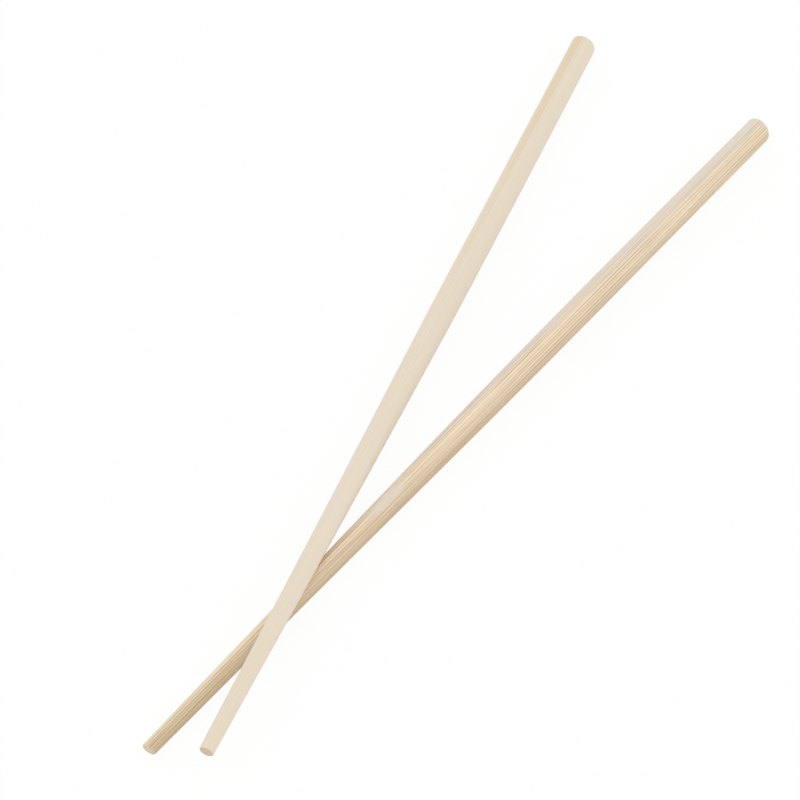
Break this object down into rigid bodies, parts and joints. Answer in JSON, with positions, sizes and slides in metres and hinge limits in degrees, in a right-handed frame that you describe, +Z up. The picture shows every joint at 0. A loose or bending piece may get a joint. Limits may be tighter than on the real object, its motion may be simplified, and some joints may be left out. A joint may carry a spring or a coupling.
{
  "type": "chopstick pair",
  "caption": "Round bamboo chopsticks with straight grips, long tapers and flat-cut tips, lying on a table with one across the other near the tips.",
  "frame": {"origin": "on the table, under the middle of the pair's bounding box", "axes": "+Z up from the table; +Y along the pair, towards the grip ends; +X to the right when the tips point at the viewer"},
  "size_m": [0.15, 0.2134, 0.0096],
  "materials": {
    "pale_bamboo": "bare sanded bamboo, pale inner wood with few fibre lines",
    "striped_bamboo": "bare sanded bamboo with brown fibre lines along the stick"
  },
  "bodies": {
    "root": {"upper_chopstick": "pale_bamboo", "lower_chopstick": "striped_bamboo"}
  },
  "joints": []
}
